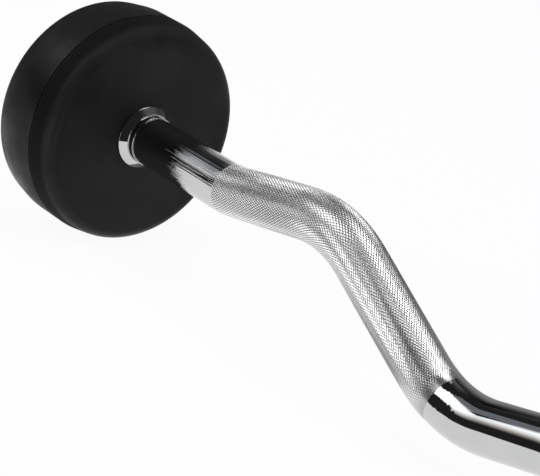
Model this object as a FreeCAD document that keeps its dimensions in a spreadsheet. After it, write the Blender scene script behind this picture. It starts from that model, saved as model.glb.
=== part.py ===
import FreeCAD, Part
import math
import os
import re

import Sketcher
from FreeCAD import Placement, Rotation, Vector

# Fixed-weight cambered curl barbell, in millimetres.
# X runs along the bar, Z is up, and the origin is the middle of the line through both heads.
# The camber lies in the XZ plane, with its dips hanging below the line of the heads.

SIZES = {
    # Bar: a round bar bent in one plane, the same on both sides of the middle.
    "bar_diameter": 30.0,
    "end_straight": 81.0,
    "outer_straight": 58.5,
    "inner_straight": 72.5,
    "middle_straight": 40.36,
    "outer_angle": 10.5,
    "inner_angle": 28.5,
    "middle_angle": 13.75,
    "bend_radius": 75.0,
    "knurl_height": 0.25,
    "outer_plain_share": 0.5,
    "inner_knurl_share": 0.39,
    "spigot_diameter": 24.0,
    # Head: a cast core inside a moulded rubber casing.
    "head_diameter": 142.5,
    "head_thickness": 58.5,
    "rim_length": 17.5,
    "rim_taper": 3.0,
    "rim_round": 8.0,
    "groove_width": 0.9,
    "groove_depth": 0.6,
    "casing_wall": 9.0,
    "casing_face": 5.5,
    "casing_back": 6.0,
    "core_edge": 1.5,
    "recess_diameter": 46.0,
    "recess_depth": 20.5,
    # Collar: a plated ring that closes the joint between bar and head. Its walls stand on the bar's bore.
    "collar_wall": 4.6,
    "collar_front_wall": 0.8,
    "collar_land": 1.2,
    "collar_length": 5.0,
    "collar_edge": 0.3,
    "neck_wall": 2.9,
    "lip_wall": 0.4,
    "lip_length": 4.1,
    "lip_edge": 0.2,
    # Fastening: an axial pin, two washers and a socket screw hold the head on the spigot.
    "pin_diameter": 6.0,
    "pin_edge": 0.6,
    "washer_diameter": 37.0,
    "washer_thickness": 3.0,
    "spring_diameter": 21.5,
    "spring_thickness": 2.6,
    "spring_gap_angle": 9.0,
    "screw_diameter": 12.0,
    "screw_length": 34.0,
    "screw_edge": 1.2,
    "screw_head_diameter": 18.0,
    "screw_head_height": 12.0,
    "socket_width": 10.0,
    "socket_depth": 6.0,
    "tap_spare": 5.0,
    # End cap: a plug pressed into the recess of the core.
    "cap_diameter": 66.0,
    "cap_wall": 2.6,
    "cap_rim_width": 6.0,
    "cap_dish_depth": 1.6,
    "cap_edge": 0.8,
    "skirt_length": 5.0,
    # Clearances and the overrun of cuts.
    "slide_fit": 0.1,
    "bond_gap": 0.1,
    "clamp_gap": 0.5,
    "overrun": 1.0,
}

# Lengths that several pieces share, written in the driving sizes.
# Half the distance between the heads is the bar's runs and bends, laid out along X.
HALF_SPAN = (
    "(end_straight + outer_straight * cos(outer_angle * 1 deg)"
    " + inner_straight * cos(inner_angle * 1 deg) + middle_straight * cos(middle_angle * 1 deg)"
    " + 2 * bend_radius * (sin(outer_angle * 1 deg) + sin(inner_angle * 1 deg) + sin(middle_angle * 1 deg)))"
)
BAR_RADIUS = "bar_diameter / 2"
COLLAR_BORE = "(bar_diameter / 2 + slide_fit)"
NECK_RADIUS = f"({COLLAR_BORE} + neck_wall)"
SPIGOT_RADIUS = "spigot_diameter / 2"
HEAD_RADIUS = "head_diameter / 2"
CAVITY_RADIUS = "(head_diameter / 2 - casing_wall)"
CORE_THICKNESS = "(head_thickness - casing_face - casing_back)"
BORE_LENGTH = "(head_thickness - casing_face - casing_back - recess_depth)"
CLAMP_PLACE = "(head_thickness - casing_back - recess_depth)"
SCREW_SEAT = f"({CLAMP_PLACE} + washer_thickness + spring_thickness)"
MATCH_TOLERANCE_SHARE = 1e-6

doc = FreeCAD.newDocument("curl_bar")
sheet = doc.addObject("Spreadsheet::Sheet", "Sizes")
for row, (alias, value) in enumerate(SIZES.items(), 1):
    sheet.set(f"A{row}", alias)
    sheet.set(f"B{row}", str(value))
    sheet.setAlias(f"B{row}", alias)
doc.recompute()


def bound(formula):
    """Return a formula with each driving size read from the sheet."""
    return re.sub(r"[a-z][a-z_]+", lambda word: f"Sizes.{word[0]}" if word[0] in SIZES else word[0], formula)


def value_of(formula):
    """Return the present value of a formula."""
    return float(sheet.evalExpression(bound(formula)))


def constrain(sketch, kind, *places, formula):
    """Add a sketch dimension that follows a formula."""
    start = value_of(formula)
    dimension = bound(formula)
    if kind == "Angle":
        start = math.radians(start)
        dimension = f"({dimension}) * 1 deg"
    index = sketch.addConstraint(Sketcher.Constraint(kind, *places, start))
    sketch.setExpression(f"Constraints[{index}]", dimension)


def sketch_on(body, role, label):
    """Return a new sketch on one of the body's own origin planes."""
    plane = next(feature for feature in body.Origin.OriginFeatures if feature.Role == role)
    sketch = body.newObject("Sketcher::SketchObject", label)
    sketch.AttachmentSupport = [(plane, "")]
    sketch.MapMode = "FlatFace"
    return sketch


def pin_corner(sketch, line, along, radius):
    """Fix the start of an outline's line at a place along the axis and a radius."""
    for kind, axis, formula in (("DistanceX", -2, along), ("DistanceY", -1, radius)):
        if formula == "0":
            sketch.addConstraint(Sketcher.Constraint("PointOnObject", line, 1, axis))
        else:
            constrain(sketch, kind, -1, 1, line, 1, formula=formula)


def turned(label, outline, open_angle="0"):
    """Return a body turned about X from corners given as (place along X, radius)."""
    body = doc.addObject("PartDesign::Body", label)
    sketch = sketch_on(body, "XZ_Plane", f"{label}_outline")
    corners = [Vector(value_of(along), value_of(radius), 0) for along, radius in outline]
    count = len(corners)
    for index in range(count):
        sketch.addGeometry(Part.LineSegment(corners[index], corners[(index + 1) % count]))
    for index in range(count):
        sketch.addConstraint(Sketcher.Constraint("Coincident", index, 2, (index + 1) % count, 1))
    for index, (along, radius) in enumerate(outline):
        pin_corner(sketch, index, along, radius)
    turn = body.newObject("PartDesign::Revolution", f"{label}_turn")
    turn.Profile = sketch
    turn.ReferenceAxis = (sketch, ["H_Axis"])
    turn.setExpression("Angle", f"(360 - {bound(open_angle)}) * 1 deg")
    doc.recompute()
    return body


def soften(body, kind, size, *rims):
    """Round or bevel the body's circular edges at the given (place along X, radius)."""
    base = body.Tip
    near = MATCH_TOLERANCE_SHARE * base.Shape.BoundBox.DiagonalLength
    names = []
    for number, edge in enumerate(base.Shape.Edges, 1):
        if not isinstance(edge.Curve, Part.Circle):
            continue
        for along, radius in rims:
            same_place = abs(edge.Curve.Center.x - value_of(along)) < near
            if same_place and abs(edge.Curve.Radius - value_of(radius)) < near:
                names.append(f"Edge{number}")
    feature = body.newObject(f"PartDesign::{kind}", f"{body.Label}_{kind.lower()}")
    feature.Base = (base, names)
    feature.setExpression("Radius" if kind == "Fillet" else "Size", bound(size))
    doc.recompute()


def bore_slot(body):
    """Cut the lengthwise half hole for the locking pin out of a core's bore."""
    sketch = sketch_on(body, "YZ_Plane", f"{body.Label}_slot_outline")
    radius = "pin_diameter / 2 + slide_fit"
    centre = Vector(0, value_of(SPIGOT_RADIUS), 0)
    sketch.addGeometry(Part.Circle(centre, Vector(0, 0, 1), value_of(radius)))
    constrain(sketch, "Radius", 0, formula=radius)
    sketch.addConstraint(Sketcher.Constraint("PointOnObject", 0, 3, -2))
    constrain(sketch, "DistanceY", -1, 1, 0, 3, formula=SPIGOT_RADIUS)
    before = body.Shape.Volume
    slot = body.newObject("PartDesign::Pocket", f"{body.Label}_slot")
    slot.Profile = sketch
    slot.Reversed = True
    slot.Type = "ThroughAll"
    doc.recompute()
    assert body.Shape.Volume < before, "the pin's slot cuts nothing"


def hex_socket(body, head_end):
    """Sink a hexagonal socket into a screw's head."""
    sketch = sketch_on(body, "YZ_Plane", f"{body.Label}_socket_outline")
    sketch.setExpression("AttachmentOffset.Base.z", bound(head_end))
    corner_radius = "socket_width / 2 / cos(30 deg)"
    reach = value_of(corner_radius)
    corners = [Vector(reach, 0, 0)]
    for step in range(1, 6):
        corners.append(Rotation(Vector(0, 0, 1), 60 * step).multVec(corners[0]))
    for index in range(6):
        sketch.addGeometry(Part.LineSegment(corners[index], corners[(index + 1) % 6]))
    guide = sketch.addGeometry(Part.Circle(Vector(), Vector(0, 0, 1), reach), True)
    sketch.addConstraint(Sketcher.Constraint("Coincident", guide, 3, -1, 1))
    constrain(sketch, "Radius", guide, formula=corner_radius)
    for index in range(6):
        sketch.addConstraint(Sketcher.Constraint("Coincident", index, 2, (index + 1) % 6, 1))
        sketch.addConstraint(Sketcher.Constraint("PointOnObject", index, 1, guide))
        if index:
            sketch.addConstraint(Sketcher.Constraint("Equal", 0, index))
    sketch.addConstraint(Sketcher.Constraint("PointOnObject", 0, 1, -1))
    before = body.Shape.Volume
    socket = body.newObject("PartDesign::Pocket", f"{body.Label}_socket")
    socket.Profile = sketch
    socket.setExpression("Length", bound("socket_depth"))
    doc.recompute()
    assert body.Shape.Volume < before, "the screw's socket cuts nothing"


def bar_path():
    """Return the half centre line, from the middle of the bar out to its right shoulder.

    Straight runs and tangent arcs alternate, and each bend's turn is set as the arc's own angle. Two
    bends are split where the knurl ends.
    """
    plain_outer = "outer_angle * outer_plain_share"
    knurled_outer = "outer_angle * (1 - outer_plain_share)"
    knurled_inner = "(inner_angle + middle_angle) * inner_knurl_share"
    plain_inner = "(inner_angle + middle_angle) * (1 - inner_knurl_share)"
    runs = [
        ("right", "middle_angle"),
        ("run", "middle_straight"),
        ("left", plain_inner),
        ("left", knurled_inner),
        ("run", "inner_straight"),
        ("right", "inner_angle + outer_angle"),
        ("run", "outer_straight"),
        ("left", knurled_outer),
        ("left", plain_outer),
        ("run", "end_straight + casing_face"),
    ]
    sketch = doc.addObject("Sketcher::SketchObject", "bar_path")
    sketch.Placement = Placement(Vector(), Rotation(Vector(1, 0, 0), 90))
    radius = value_of("bend_radius")
    point = Vector(0, 0, 0)
    heading = 0.0
    ends = []
    for kind, formula in runs:
        along = Vector(math.cos(heading), math.sin(heading), 0)
        if kind == "run":
            after = point + along * value_of(formula)
            sketch.addGeometry(Part.LineSegment(point, after))
            ends.append((1, 2))
        else:
            side = 1 if kind == "left" else -1
            turn = side * math.radians(value_of(formula))
            centre = point + Vector(-along.y, along.x, 0) * (side * radius)
            first = heading - side * math.pi / 2
            circle = Part.Circle(centre, Vector(0, 0, 1), radius)
            sketch.addGeometry(Part.ArcOfCircle(circle, *sorted((first, first + turn))))
            heading += turn
            after = centre + Vector(math.cos(first + turn), math.sin(first + turn), 0) * radius
            ends.append((1, 2) if side > 0 else (2, 1))
        point = after
    for index, (kind, formula) in enumerate(runs):
        if index:
            joint = (index - 1, ends[index - 1][1], index, ends[index][0])
            sketch.addConstraint(Sketcher.Constraint("Tangent", *joint))
        if kind == "run":
            constrain(sketch, "Distance", index, formula=formula)
        else:
            constrain(sketch, "Radius", index, formula="bend_radius")
            constrain(sketch, "Angle", index, formula=formula)
    last = len(runs) - 1
    sketch.addConstraint(Sketcher.Constraint("PointOnObject", 0, ends[0][0], -2))
    sketch.addConstraint(Sketcher.Constraint("PointOnObject", 0, 3, -2))
    sketch.addConstraint(Sketcher.Constraint("PointOnObject", last, 2, -1))
    doc.recompute()
    return sketch


def round_bar(label, path, edges, radius, along, height, lean):
    """Return a round section swept along some edges of the path, from a circle square to them."""
    ring = doc.addObject("Part::Circle", f"{label}_section")
    ring.setExpression("Radius", bound(radius))
    ring.Placement = Placement(Vector(), Rotation(Vector(0, 1, 0), 90))
    ring.setExpression("Placement.Base.x", bound(along))
    ring.setExpression("Placement.Base.z", bound(height))
    ring.setExpression("Placement.Rotation.Angle", f"(90 + {bound(lean)}) * 1 deg")
    sweep = doc.addObject("Part::Sweep", label)
    sweep.Sections = [ring]
    sweep.Spine = (path, [f"Edge{number}" for number in edges])
    sweep.Solid = True
    sweep.Transition = "Transformed"
    return sweep


def rod(label, radius, length, along, height="0"):
    """Return a plain cylinder along X."""
    cylinder = doc.addObject("Part::Cylinder", label)
    cylinder.setExpression("Radius", bound(radius))
    cylinder.setExpression("Height", bound(length))
    cylinder.Placement = Placement(Vector(), Rotation(Vector(0, 1, 0), 90))
    cylinder.setExpression("Placement.Base.x", bound(along))
    cylinder.setExpression("Placement.Base.z", bound(height))
    return cylinder


def ez_bar():
    """Return the bent bar with its knurled stretches and its two drilled and slotted spigots."""
    path = bar_path()
    shoulder = f"({HALF_SPAN} + casing_face)"
    spigot_length = f"({BORE_LENGTH} - clamp_gap)"
    shaft = round_bar("shaft", path, range(1, 11), BAR_RADIUS, shoulder, "0", "0")
    lean = "outer_angle * outer_plain_share"
    knurl_place = f"{HALF_SPAN} - end_straight - bend_radius * sin({lean} * 1 deg)"
    knurl_height = f"bend_radius * (1 - cos({lean} * 1 deg))"
    knurl_radius = f"{BAR_RADIUS} + knurl_height"
    knurl = round_bar("knurl", path, range(4, 9), knurl_radius, knurl_place, knurl_height, lean)
    spigot = rod("spigot", SPIGOT_RADIUS, spigot_length, shoulder)
    solid_half = doc.addObject("Part::MultiFuse", "solid_half")
    solid_half.Shapes = [shaft, knurl, spigot]
    tap_depth = "(screw_length - washer_thickness - spring_thickness - clamp_gap + tap_spare)"
    tap_place = f"{shoulder} + {spigot_length} - {tap_depth}"
    tap = rod("tap", "screw_diameter / 2 + slide_fit", f"{tap_depth} + overrun", tap_place)
    slot = rod("slot", "pin_diameter / 2 + slide_fit", f"{spigot_length} + overrun", shoulder, SPIGOT_RADIUS)
    tools = doc.addObject("Part::MultiFuse", "spigot_tools")
    tools.Shapes = [tap, slot]
    half = doc.addObject("Part::Cut", "right_half")
    half.Base = solid_half
    half.Tool = tools
    mirror = doc.addObject("Part::Mirroring", "left_half")
    mirror.Source = half
    mirror.Normal = Vector(1, 0, 0)
    whole = doc.addObject("Part::Fuse", "ez_bar")
    whole.Base = half
    whole.Tool = mirror
    whole.Refine = True
    doc.recompute()
    return whole


def collar(label):
    """Return the stepped collar: a thin lip, a coned band with a short land, and a neck in the casing."""
    band = "lip_length + collar_length"
    land = f"{band} - collar_land"
    lip = f"{COLLAR_BORE} + lip_wall"
    front = f"{COLLAR_BORE} + collar_front_wall"
    back = f"{COLLAR_BORE} + collar_wall"
    body = turned(label, [
        ("0", COLLAR_BORE),
        ("0", lip),
        ("lip_length", lip),
        ("lip_length", front),
        (land, back),
        (band, back),
        (band, NECK_RADIUS),
        (f"{band} + casing_face", NECK_RADIUS),
        (f"{band} + casing_face", COLLAR_BORE),
    ])
    soften(body, "Fillet", "collar_edge", ("lip_length", front), (land, back), (band, back))
    soften(body, "Fillet", "lip_edge", ("0", lip))
    return body


def rubber_casing(label):
    """Return the moulded casing: both rims taper to their faces, and a groove marks the inner rim's foot."""
    hole = f"{NECK_RADIUS} + slide_fit"
    cap_hole = "cap_diameter / 2 + slide_fit"
    groove = f"{HEAD_RADIUS} - groove_depth"
    rim = f"{HEAD_RADIUS} - rim_taper"
    body = turned(label, [
        ("0", hole),
        ("0", rim),
        ("rim_length", HEAD_RADIUS),
        ("rim_length", groove),
        ("rim_length + groove_width", groove),
        ("rim_length + groove_width", HEAD_RADIUS),
        ("head_thickness - rim_length", HEAD_RADIUS),
        ("head_thickness", rim),
        ("head_thickness", cap_hole),
        ("head_thickness - casing_back", cap_hole),
        ("head_thickness - casing_back", f"{CAVITY_RADIUS} - core_edge"),
        ("head_thickness - casing_back - core_edge", CAVITY_RADIUS),
        ("casing_face + core_edge", CAVITY_RADIUS),
        ("casing_face", f"{CAVITY_RADIUS} - core_edge"),
        ("casing_face", hole),
    ])
    soften(body, "Fillet", "rim_round", ("0", rim), ("head_thickness", rim))
    return body


def weight_core(label):
    """Return the cast core: bored for the spigot, recessed for the screw, slotted for the pin."""
    bore = f"{SPIGOT_RADIUS} + slide_fit"
    outside = f"{CAVITY_RADIUS} - bond_gap"
    body = turned(label, [
        ("0", bore),
        ("0", f"{outside} - core_edge"),
        ("core_edge", outside),
        (f"{CORE_THICKNESS} - core_edge", outside),
        (CORE_THICKNESS, f"{outside} - core_edge"),
        (CORE_THICKNESS, "recess_diameter / 2"),
        (BORE_LENGTH, "recess_diameter / 2"),
        (BORE_LENGTH, bore),
    ])
    bore_slot(body)
    return body


def locking_pin(label):
    """Return the plain pin that lies half in the spigot and half in the core."""
    length = f"{BORE_LENGTH} - clamp_gap"
    radius = "pin_diameter / 2"
    body = turned(label, [("0", "0"), ("0", radius), (length, radius), (length, "0")])
    soften(body, "Chamfer", "pin_edge", ("0", radius), (length, radius))
    return body


def flat_washer(label):
    """Return the thick washer that clamps the core against the bar's shoulder."""
    hole = "screw_diameter / 2 + slide_fit"
    rim = "washer_diameter / 2"
    return turned(label, [("0", hole), ("0", rim), ("washer_thickness", rim), ("washer_thickness", hole)])


def spring_washer(label):
    """Return the split ring under the screw's head, pressed flat as it is when tightened."""
    hole = "screw_diameter / 2 + slide_fit"
    rim = "spring_diameter / 2"
    outline = [("0", hole), ("0", rim), ("spring_thickness", rim), ("spring_thickness", hole)]
    return turned(label, outline, "spring_gap_angle")


def socket_screw(label):
    """Return the cylinder-head screw, its shank towards the bar."""
    shank = "screw_diameter / 2"
    head = "screw_head_diameter / 2"
    top = "screw_length + screw_head_height"
    body = turned(label, [
        ("0", "0"),
        ("0", shank),
        ("screw_length", shank),
        ("screw_length", head),
        (top, head),
        (top, "0"),
    ])
    soften(body, "Chamfer", "screw_edge", ("0", shank), (top, head))
    hex_socket(body, top)
    return body


def end_cap(label):
    """Return the dished plug: its disc fills the casing's outer hole and its skirt the core's recess."""
    skirt = "recess_diameter / 2 - slide_fit"
    inside = f"{skirt} - cap_wall"
    rim = "cap_diameter / 2"
    dish = f"{rim} - cap_rim_width"
    face = "skirt_length + casing_back"
    floor = f"{face} - cap_dish_depth"
    body = turned(label, [
        ("0", inside),
        ("0", skirt),
        ("skirt_length", skirt),
        ("skirt_length", rim),
        (face, rim),
        (face, dish),
        (floor, f"{dish} - cap_dish_depth"),
        (floor, "0"),
        (f"{floor} - cap_wall", "0"),
        (f"{floor} - cap_wall", inside),
    ])
    soften(body, "Fillet", "cap_edge", (face, rim))
    return body


# Each piece of a head: its maker, its place out from the head's inner face and its height.
HEAD_PIECES = {
    "collar": (collar, "-(lip_length + collar_length)", "0"),
    "rubber_casing": (rubber_casing, "0", "0"),
    "weight_core": (weight_core, "casing_face", "0"),
    "locking_pin": (locking_pin, "casing_face", SPIGOT_RADIUS),
    "flat_washer": (flat_washer, CLAMP_PLACE, "0"),
    "spring_washer": (spring_washer, f"{CLAMP_PLACE} + washer_thickness", "0"),
    "socket_screw": (socket_screw, f"{SCREW_SEAT} - screw_length", "0"),
    "end_cap": (end_cap, "head_thickness - casing_back - skirt_length", "0"),
}

nodes = [ez_bar()]
for side, sign in (("left", "-"), ("right", "")):
    for piece, (maker, place, height) in HEAD_PIECES.items():
        body = maker(f"{side}_{piece}")
        if side == "left":
            body.Placement = Placement(Vector(), Rotation(Vector(0, 0, 1), 180))
        body.setExpression("Placement.Base.x", f"{sign}({bound(f'{HALF_SPAN} + {place}')})")
        body.setExpression("Placement.Base.z", bound(height))
        nodes.append(body)
doc.recompute()

for thing in doc.Objects:
    faults = {"Invalid", "Error"} & set(thing.State)
    assert not faults, f"{thing.Label} failed: {thing.State}"
for node in nodes:
    assert not node.Shape.isNull() and node.Shape.isValid(), f"{node.Label} has no valid shape"
    assert len(node.Shape.Solids) == 1, f"{node.Label} is not one solid"

os.makedirs("parts", exist_ok=True)
for node in nodes:
    node.Shape.exportStep(f"parts/{node.Label}.step")
    box = node.Shape.BoundBox
    print(f"{node.Label}: {node.Shape.Volume:.0f} mm3, X {box.XMin:.2f} to {box.XMax:.2f}, "
          f"Z {box.ZMin:.2f} to {box.ZMax:.2f}")
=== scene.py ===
import bmesh
import bpy
import numpy as np
from mathutils import Matrix, Vector


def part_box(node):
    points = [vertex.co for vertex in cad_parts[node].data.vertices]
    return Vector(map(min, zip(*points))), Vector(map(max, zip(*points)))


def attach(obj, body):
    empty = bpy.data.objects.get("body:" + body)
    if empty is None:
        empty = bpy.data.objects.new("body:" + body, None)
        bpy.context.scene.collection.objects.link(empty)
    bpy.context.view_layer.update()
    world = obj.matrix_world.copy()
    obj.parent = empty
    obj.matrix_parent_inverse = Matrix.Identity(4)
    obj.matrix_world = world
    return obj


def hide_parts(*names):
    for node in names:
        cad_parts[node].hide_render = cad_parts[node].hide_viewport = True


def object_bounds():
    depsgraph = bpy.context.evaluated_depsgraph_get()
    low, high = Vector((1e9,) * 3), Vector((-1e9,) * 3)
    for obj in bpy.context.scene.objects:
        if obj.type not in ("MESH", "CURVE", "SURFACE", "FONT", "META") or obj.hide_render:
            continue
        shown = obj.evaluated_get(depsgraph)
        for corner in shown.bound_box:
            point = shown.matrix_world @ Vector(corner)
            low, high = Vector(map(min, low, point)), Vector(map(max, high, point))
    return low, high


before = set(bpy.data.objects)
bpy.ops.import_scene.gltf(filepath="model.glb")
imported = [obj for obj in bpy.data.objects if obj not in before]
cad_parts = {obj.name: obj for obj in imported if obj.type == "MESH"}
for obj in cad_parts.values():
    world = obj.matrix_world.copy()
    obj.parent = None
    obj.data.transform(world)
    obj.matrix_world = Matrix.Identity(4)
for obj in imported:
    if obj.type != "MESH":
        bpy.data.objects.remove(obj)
CAD_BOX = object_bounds()
MM = 0.001

# The head's main sizes come from the right rubber casing in model.glb.
CASING_LOW, CASING_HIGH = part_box("right_rubber_casing")
HALF_SPAN = CASING_LOW.x
HEAD_THICKNESS = CASING_HIGH.x - CASING_LOW.x
HEAD_RADIUS = CASING_HIGH.z
FLOOR_HEIGHT = CAD_BOX[0][2]

# Bar: a half centre line of straight runs and bends, from the middle out to the head.
BAR_RADIUS = 15.0 * MM
BEND_RADIUS = 75.0 * MM
MIDDLE_STRAIGHT = 40.36 * MM
INNER_STRAIGHT = 72.5 * MM
OUTER_STRAIGHT = 58.5 * MM
END_STRAIGHT = 81.0 * MM
MIDDLE_ANGLE = np.radians(13.75)
INNER_ANGLE = np.radians(28.5)
OUTER_ANGLE = np.radians(10.5)
OUTER_PLAIN_SHARE = 0.5
INNER_KNURL_SHARE = 0.39
SPIGOT_RADIUS = 12.0 * MM
SPIGOT_LENGTH = 26.0 * MM
STEP_WIDTH = 0.05 * MM

# Bends of the half centre line, each by the knots where it starts and ends.
INNER_BEND = [2, 3]
GRIP_BEND = [4, 5]
END_BEND = [6, 7]

# Knurl: rows of flat-topped diamonds, raised a little over the plain bar.
KNURL_STARTS = 60
KNURL_ANGLE = np.radians(30.0)
KNURL_RISE = 0.25 * MM
KNURL_DEPTH = 0.2 * MM
KNURL_SEAT = 0.3 * MM
KNURL_FADE = 9.0 * MM
KNURL_WORN_SHARE = 0.3
DIAMOND_TOP_SHARE = 0.54
PLAIN_RELIEF = 0.34

# Collar, casing and cap: sizes of the turned pieces.
COLLAR_BACK_RADIUS = 19.7 * MM
COLLAR_FRONT_RADIUS = 15.9 * MM
COLLAR_LAND = 1.2 * MM
COLLAR_LENGTH = 5.0 * MM
COLLAR_EDGE = 0.3 * MM
COLLAR_BORE = 15.1 * MM
LIP_RADIUS = 15.5 * MM
LIP_LENGTH = 4.1 * MM
LIP_EDGE = 0.2 * MM
NECK_RADIUS = 18.0 * MM
CASING_FACE = 5.5 * MM
CASING_BACK = 6.0 * MM
CASING_WALL = 9.0 * MM
CASING_HOLE = 18.1 * MM
CAP_HOLE = 33.1 * MM
RIM_LENGTH = 17.5 * MM
RIM_TAPER = 3.0 * MM
RIM_ROUND = 8.0 * MM
GROOVE_WIDTH = 0.9 * MM
GROOVE_DEPTH = 0.6 * MM
GROOVE_EDGE = 0.2 * MM
CAP_RADIUS = 33.0 * MM
CAP_RIM_WIDTH = 6.0 * MM
CAP_DISH_DEPTH = 1.6 * MM
CAP_WALL = 2.6 * MM
CAP_EDGE = 0.8 * MM
SKIRT_LENGTH = 5.0 * MM
SKIRT_RADIUS = 22.9 * MM

# Meshes: how finely they are divided, how near their points merge, and where their shading breaks.
BAR_SIDES = 96
RING_STEP = 1.5 * MM
HEAD_SIDES = 192
ROUND_POINTS = 13
SEAT_ROW_STEP = 3
MERGE_DISTANCE = 0.001 * MM
SHARP_ANGLE = 35.0
KNURL_SHARP_ANGLE = 14.0

# Camera: where it stands, what it looks at, how far it leans, and its lens on a 36 mm wide sensor.
CAMERA_EYE = Vector((0.51389, -0.73455, 0.33340))
CAMERA_AIM = Vector((-0.30470, 0.05543, -0.03894))
CAMERA_ROLL = np.radians(14.284)
CAMERA_LENS = 130.98
SENSOR_WIDTH = 36.0


def new_mesh(name, vertices, faces):
    """Return an object with the given vertices and faces, turned so that its faces point outwards.

    The signed volume, a third of the sum of each face's centre times its area vector, tells which way
    they point.
    """
    mesh = bpy.data.meshes.new(name)
    mesh.from_pydata(vertices.tolist(), [], [face for group in faces for face in group.tolist()])
    mesh.update()
    count = len(mesh.polygons)
    centres = np.empty(3 * count)
    normals = np.empty(3 * count)
    areas = np.empty(count)
    mesh.polygons.foreach_get("center", centres)
    mesh.polygons.foreach_get("normal", normals)
    mesh.polygons.foreach_get("area", areas)
    reach = np.sum(centres.reshape(-1, 3) * normals.reshape(-1, 3), axis=1)
    if np.sum(reach * areas) < 0:
        mesh.flip_normals()
    piece = bpy.data.objects.new(name, mesh)
    bpy.context.scene.collection.objects.link(piece)
    return piece


def full_turn(count):
    """Return the angles of a full turn in even steps."""
    return np.arange(count) * 2 * np.pi / count


def grid_faces(rows, columns, wrap_rows):
    """Return the quads of a grid whose columns close on themselves, and its rows too if wrap_rows."""
    index = np.arange(rows * columns).reshape(rows, columns)
    beside = np.roll(index, -1, axis=1)
    last = rows if wrap_rows else rows - 1
    above = np.roll(index, -1, axis=0)
    beside_above = np.roll(beside, -1, axis=0)
    quads = np.stack([index, beside, beside_above, above], axis=-1)
    return quads[:last].reshape(-1, 4)


def add_surface_map(piece, columns, lengths):
    """Give a grid piece a UV map: u is the share of a turn, v the length along the piece in metres.

    Faces that were turned to point outwards have their corners in reverse order from the first one.
    """
    layer = piece.data.uv_layers.new(name="surface")
    faces = len(lengths) - 1
    turn = np.arange(columns) / columns
    on = turn + 1 / columns
    u = np.broadcast_to(np.stack([turn, on, on, turn], axis=-1), (faces, columns, 4))
    low = lengths[:-1, None]
    high = lengths[1:, None]
    v = np.broadcast_to(np.stack([low, low, high, high], axis=-1), (faces, columns, 4))
    corners = np.stack([u, v], axis=-1).reshape(faces * columns, 4, 2)
    order = np.empty(len(piece.data.loops), dtype=np.int32)
    piece.data.loops.foreach_get("vertex_index", order)
    if order[1] != 1:
        corners = corners[:, [0, 3, 2, 1]]
    layer.data.foreach_set("uv", corners.ravel().astype(np.float32))


def close_poles(piece):
    """Merge the rings of no radius at a piece's ends into single vertices."""
    shell = bmesh.new()
    shell.from_mesh(piece.data)
    bmesh.ops.remove_doubles(shell, verts=shell.verts, dist=MERGE_DISTANCE)
    shell.to_mesh(piece.data)
    shell.free()


def smooth(piece, sharp_angle=SHARP_ANGLE):
    """Shade a piece smooth, with its edges of more than the given angle kept sharp."""
    piece.data.shade_smooth()
    piece.data.set_sharp_from_angle(angle=np.radians(sharp_angle))


def centre_line():
    """Return the knots of the half centre line: lengths, headings, bends and places at each knot.

    Straight runs keep the heading, and bends turn it evenly, so the heading is a broken line over the
    length. The line starts level at the middle of the bar and ends level on the axis of the heads.
    """
    turns = np.array([-MIDDLE_ANGLE, 0, MIDDLE_ANGLE + INNER_ANGLE, 0, -INNER_ANGLE - OUTER_ANGLE, 0,
                      OUTER_ANGLE, 0])
    runs = np.array([0, MIDDLE_STRAIGHT, 0, INNER_STRAIGHT, 0, OUTER_STRAIGHT, 0,
                     END_STRAIGHT + CASING_FACE + SPIGOT_LENGTH])
    lengths = np.concatenate([[0], np.cumsum(runs + np.abs(turns) * BEND_RADIUS)])
    headings = np.concatenate([[0], np.cumsum(turns)])
    bends = np.sign(turns) / BEND_RADIUS
    steps = np.where(turns[:, None] == 0,
                     runs[:, None] * np.stack([np.cos(headings[:-1]), np.sin(headings[:-1])], axis=-1),
                     BEND_RADIUS * np.sign(turns)[:, None]
                     * np.stack([np.diff(np.sin(headings)), -np.diff(np.cos(headings))], axis=-1))
    places = np.concatenate([[[0, 0]], np.cumsum(steps, axis=0)])
    return lengths, headings, bends, places - [0, places[-1, 1]]


LINE_LENGTHS, LINE_HEADINGS, LINE_BENDS, LINE_PLACES = centre_line()


def within_bend(bend, share):
    """Return the length along the bar at a share of the way through a bend."""
    start, end = LINE_LENGTHS[bend]
    return start + share * (end - start)


# Lengths along the bar from its middle, and how far out the straight run of the inner grip lies.
BAR_END = LINE_LENGTHS[-1]
SHOULDER = BAR_END - SPIGOT_LENGTH
KNURL_INNER = within_bend(INNER_BEND, 1 - INNER_KNURL_SHARE)
KNURL_FULL = LINE_LENGTHS[GRIP_BEND[1]]
KNURL_OUTER = within_bend(END_BEND, 1 - OUTER_PLAIN_SHARE)
INNER_GRIP_SPAN = LINE_PLACES[[INNER_BEND[1], GRIP_BEND[0]], 0]


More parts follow.
